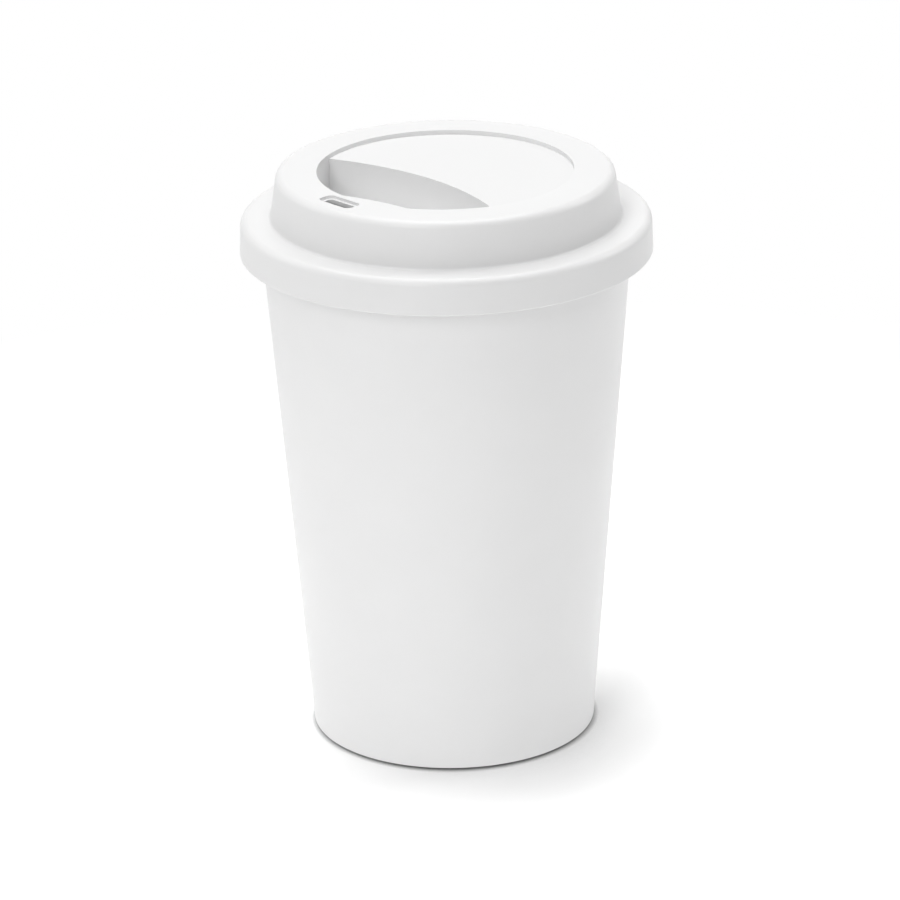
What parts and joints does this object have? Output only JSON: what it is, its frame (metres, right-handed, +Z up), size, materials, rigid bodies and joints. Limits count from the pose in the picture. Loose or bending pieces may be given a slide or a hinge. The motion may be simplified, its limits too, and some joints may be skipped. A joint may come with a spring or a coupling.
{
  "type": "reusable coffee cup",
  "caption": "Tapered white plastic coffee cup for repeated use, with a press-on sip lid that lifts off.",
  "frame": {"origin": "middle of the cup's foot ring, on the surface that it stands on", "axes": "+Z up along the cup's axis, -Y towards the sip hole in the lid"},
  "size_m": [0.096, 0.096, 0.1372],
  "materials": {
    "cup_plastic": "satin moulded polypropylene, white",
    "lid_plastic": "satin moulded polypropylene, white"
  },
  "bodies": {
    "cup": {"cup": "cup_plastic"},
    "lid": {"lid": "lid_plastic"}
  },
  "joints": [
    {"name": "lid_lift", "type": "slide", "parent": "cup", "child": "lid", "axis": [0, 0, 1], "range_m": [0, 0.03]}
  ]
}
